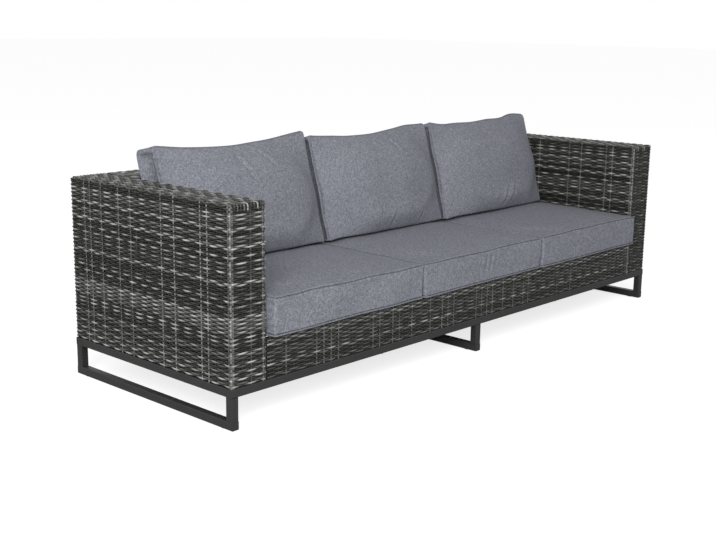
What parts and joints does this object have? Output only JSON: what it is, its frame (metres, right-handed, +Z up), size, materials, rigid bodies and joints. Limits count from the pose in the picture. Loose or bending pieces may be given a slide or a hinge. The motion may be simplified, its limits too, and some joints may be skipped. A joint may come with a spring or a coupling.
{
  "type": "woven garden sofa",
  "caption": "Garden sofa with a boxy woven resin body of slab arms and back on square-tube sleds, with loose boxed seat and back cushions.",
  "frame": {"origin": "on the floor, under the middle of the bounding box of the sofa with its cushions in place", "axes": "+Z up, +X along the sofa, to the right for someone who faces its front; the seat faces -Y"},
  "size_m": [2.2, 0.76, 0.7188],
  "materials": {
    "powder_coat": "satin",
    "frame_aluminium": "satin",
    "wicker": "matte",
    "cushion_fabric": "matte",
    "cushion_fibre": "matte",
    "zip": "matte",
    "glide_plastic": "matte",
    "bolt_steel": "satin"
  },
  "bodies": {
    "root": {"base_left_rail": "powder_coat", "left_runner": "powder_coat", "left_front_leg": "powder_coat", "left_front_glide": "glide_plastic", "left_rear_leg": "powder_coat", "left_rear_glide": "glide_plastic", "base_centre_rail": "powder_coat", "centre_runner": "powder_coat", "centre_front_leg": "powder_coat", "centre_front_glide": "glide_plastic", "centre_rear_leg": "powder_coat", "centre_rear_glide": "glide_plastic", "base_right_rail": "powder_coat", "right_runner": "powder_coat", "right_front_leg": "powder_coat", "right_front_glide": "glide_plastic", "right_rear_leg": "powder_coat", "right_rear_glide": "glide_plastic", "base_front_rail": "powder_coat", "base_rear_rail": "powder_coat", "left_arm_frame": "frame_aluminium", "left_arm_wicker": "wicker", "arm_back_bolt_left": "bolt_steel", "back_seat_bolt_left": "bolt_steel", "arm_seat_bolt_left_front": "bolt_steel", "base_bolt_left_front": "bolt_steel", "arm_seat_bolt_left_rear": "bolt_steel", "base_bolt_left_rear": "bolt_steel", "right_arm_frame": "frame_aluminium", "right_arm_wicker": "wicker", "arm_back_bolt_right": "bolt_steel", "back_seat_bolt_right": "bolt_steel", "arm_seat_bolt_right_front": "bolt_steel", "base_bolt_right_front": "bolt_steel", "arm_seat_bolt_right_rear": "bolt_steel", "base_bolt_right_rear": "bolt_steel", "back_frame": "frame_aluminium", "seat_frame": "frame_aluminium", "back_wicker": "wicker", "seat_wicker": "wicker"},
    "left_seat_cushion": {"left_seat_cushion_cover": "cushion_fabric", "left_seat_cushion_core": "cushion_fibre", "left_seat_cushion_zip": "zip"},
    "left_back_cushion": {"left_back_cushion_cover": "cushion_fabric", "left_back_cushion_core": "cushion_fibre", "left_back_cushion_zip": "zip"},
    "middle_seat_cushion": {"middle_seat_cushion_cover": "cushion_fabric", "middle_seat_cushion_core": "cushion_fibre", "middle_seat_cushion_zip": "zip"},
    "middle_back_cushion": {"middle_back_cushion_cover": "cushion_fabric", "middle_back_cushion_core": "cushion_fibre", "middle_back_cushion_zip": "zip"},
    "right_seat_cushion": {"right_seat_cushion_cover": "cushion_fabric", "right_seat_cushion_core": "cushion_fibre", "right_seat_cushion_zip": "zip"},
    "right_back_cushion": {"right_back_cushion_cover": "cushion_fabric", "right_back_cushion_core": "cushion_fibre", "right_back_cushion_zip": "zip"}
  },
  "joints": [
    {"name": "left_seat_cushion_lift", "type": "slide", "parent": "root", "child": "left_seat_cushion", "axis": [0, 0, 1], "range_m": [0, 0.4]},
    {"name": "left_back_cushion_lift", "type": "slide", "parent": "left_seat_cushion", "child": "left_back_cushion", "axis": [0, 0, 1], "range_m": [0, 0.3]},
    {"name": "middle_seat_cushion_lift", "type": "slide", "parent": "root", "child": "middle_seat_cushion", "axis": [0, 0, 1], "range_m": [0, 0.4]},
    {"name": "middle_back_cushion_lift", "type": "slide", "parent": "middle_seat_cushion", "child": "middle_back_cushion", "axis": [0, 0, 1], "range_m": [0, 0.3]},
    {"name": "right_seat_cushion_lift", "type": "slide", "parent": "root", "child": "right_seat_cushion", "axis": [0, 0, 1], "range_m": [0, 0.4]},
    {"name": "right_back_cushion_lift", "type": "slide", "parent": "right_seat_cushion", "child": "right_back_cushion", "axis": [0, 0, 1], "range_m": [0, 0.3]}
  ]
}
